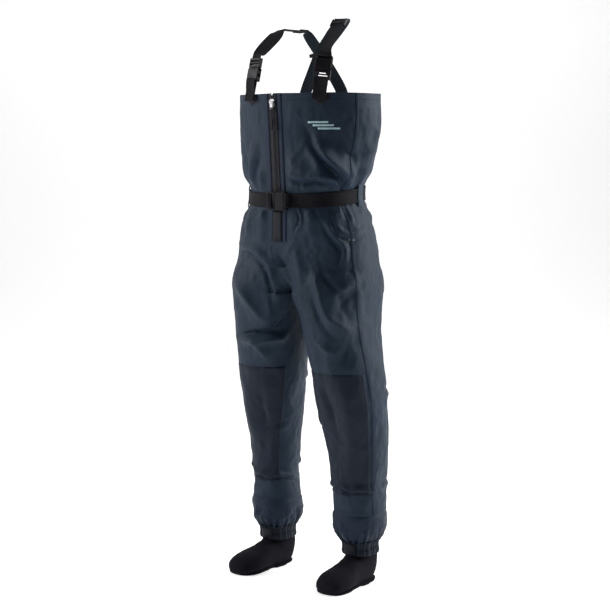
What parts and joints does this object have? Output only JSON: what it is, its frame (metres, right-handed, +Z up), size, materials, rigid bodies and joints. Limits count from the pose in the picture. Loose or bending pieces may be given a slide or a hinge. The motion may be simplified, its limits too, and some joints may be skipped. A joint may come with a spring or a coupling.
{
  "type": "chest waders",
  "caption": "Stocking-foot chest waders standing as if worn, with front zip, waist belt, crossed suspenders on release buckles, gravel guards and neoprene socks.",
  "frame": {"origin": "on the floor under the middle of the whole box, soles on Z = 0", "axes": "+Z up; the wearer faces -Y; the wearer's left is +X"},
  "size_m": [0.454, 0.3056, 1.5816],
  "materials": {
    "shell_fabric": "coated woven nylon, soft sheen",
    "knee_fabric": "heavier woven nylon, darker",
    "neoprene": "neoprene faced with knit jersey, matte",
    "cuff_elastic": "gathered elastic cuff",
    "webbing": "ribbed polypropylene webbing",
    "elastic_webbing": "elastic webbing, dark teal",
    "buckle_plastic": "moulded acetal",
    "zip_tape": "coated zip tape",
    "zip_teeth": "moulded teeth",
    "zip_metal": "satin cast metal",
    "print": "pale heat-transfer trim",
    "seam_tape": "translucent sealing tape"
  },
  "bodies": {
    "garment": {"right_front_panel": "shell_fabric", "left_front_panel": "shell_fabric", "back_panel": "shell_fabric", "crotch_gusset": "shell_fabric", "right_leg_front": "shell_fabric", "right_leg_back": "shell_fabric", "left_leg_front": "shell_fabric", "left_leg_back": "shell_fabric", "right_knee_patch": "knee_fabric", "left_knee_patch": "knee_fabric", "rim_hem": "shell_fabric", "inner_seam_tapes": "seam_tape", "right_sock_upper": "neoprene", "right_sock_sole": "neoprene", "left_sock_upper": "neoprene", "left_sock_sole": "neoprene", "right_gravel_guard": "shell_fabric", "left_gravel_guard": "shell_fabric", "right_cuff_elastic": "cuff_elastic", "left_cuff_elastic": "cuff_elastic", "cuff_tabs": "webbing", "right_zip_tape": "zip_tape", "left_zip_tape": "zip_tape", "right_placket": "zip_tape", "left_placket": "zip_tape", "right_zip_teeth": "zip_teeth", "left_zip_teeth": "zip_teeth", "zip_top_stops": "zip_teeth", "zip_garage": "zip_tape", "right_strap_anchor": "webbing", "left_strap_anchor": "webbing", "right_buckle_clip": "buckle_plastic", "left_buckle_housing": "buckle_plastic", "right_front_strap": "webbing", "left_front_strap": "webbing", "right_back_strap": "elastic_webbing", "left_back_strap": "elastic_webbing", "strap_cross_keeper": "buckle_plastic", "back_strap_anchors": "webbing", "belt_webbing": "webbing", "belt_buckle_housing": "buckle_plastic", "belt_loops": "shell_fabric", "chest_mark": "print"},
    "zip_slider": {"zip_slider": "zip_metal"},
    "zip_pull": {"zip_pull_tab": "zip_metal", "zip_pull_cord": "webbing"},
    "belt_clip": {"belt_buckle_clip": "buckle_plastic", "belt_clip_loop": "webbing"},
    "belt_upper_prong": {"belt_prong_upper": "buckle_plastic"},
    "belt_lower_prong": {"belt_prong_lower": "buckle_plastic"},
    "right_tab": {"right_buckle_housing": "buckle_plastic", "right_tab_loop": "webbing"},
    "right_inner_prong": {"right_prong_inner": "buckle_plastic"},
    "right_outer_prong": {"right_prong_outer": "buckle_plastic"},
    "left_tab": {"left_buckle_clip": "buckle_plastic", "left_tab_loop": "webbing"},
    "left_inner_prong": {"left_prong_inner": "buckle_plastic"},
    "left_outer_prong": {"left_prong_outer": "buckle_plastic"},
    "right_slider": {"right_strap_slider": "buckle_plastic"},
    "left_slider": {"left_strap_slider": "buckle_plastic"}
  },
  "joints": [
    {"name": "zip_slide", "type": "slide", "parent": "garment", "child": "zip_slider", "axis": [0, 0.0748, -0.9972], "range_m": [0, 0.16]},
    {"name": "zip_pull_swing", "type": "hinge", "parent": "zip_slider", "child": "zip_pull", "pos_m": [-0.02, -0.15038, 1.35547], "axis": [-1, 0, 0], "range_deg": [0, 150]},
    {"name": "belt_clip_release", "type": "slide", "parent": "garment", "child": "belt_clip", "axis": [-1, 0, 0], "range_m": [0, 0.028]},
    {"name": "belt_upper_prong_press", "type": "slide", "parent": "belt_clip", "child": "belt_upper_prong", "axis": [0, 0.0748, -0.9972], "range_m": [0, 0.0025], "stiffness_N_per_m": 600},
    {"name": "belt_lower_prong_press", "type": "slide", "parent": "belt_clip", "child": "belt_lower_prong", "axis": [0, -0.0748, 0.9972], "range_m": [0, 0.0025], "stiffness_N_per_m": 600},
    {"name": "right_buckle_release", "type": "slide", "parent": "garment", "child": "right_tab", "axis": [-0.06, -0.2, -0.978], "range_m": [0, 0.028]},
    {"name": "right_inner_prong_press", "type": "slide", "parent": "garment", "child": "right_inner_prong", "axis": [-0.9707, 0.2402, 0.0104], "range_m": [0, 0.0025], "stiffness_N_per_m": 600},
    {"name": "right_outer_prong_press", "type": "slide", "parent": "garment", "child": "right_outer_prong", "axis": [0.9707, -0.2402, -0.0104], "range_m": [0, 0.0025], "stiffness_N_per_m": 600},
    {"name": "left_buckle_release", "type": "slide", "parent": "garment", "child": "left_tab", "axis": [-0.03, -0.2001, -0.9793], "range_m": [0, 0.028]},
    {"name": "left_inner_prong_press", "type": "slide", "parent": "left_tab", "child": "left_inner_prong", "axis": [0.9277, 0.3591, -0.1018], "range_m": [0, 0.0025], "stiffness_N_per_m": 600},
    {"name": "left_outer_prong_press", "type": "slide", "parent": "left_tab", "child": "left_outer_prong", "axis": [-0.9277, -0.3591, 0.1018], "range_m": [0, 0.0025], "stiffness_N_per_m": 600},
    {"name": "right_strap_adjust", "type": "slide", "parent": "garment", "child": "right_slider", "axis": [-0.3991, -0.9164, 0.0296], "range_m": [0, 0.035]},
    {"name": "left_strap_adjust", "type": "slide", "parent": "garment", "child": "left_slider", "axis": [0.0403, -0.6711, -0.7402], "range_m": [0, 0.06]}
  ]
}
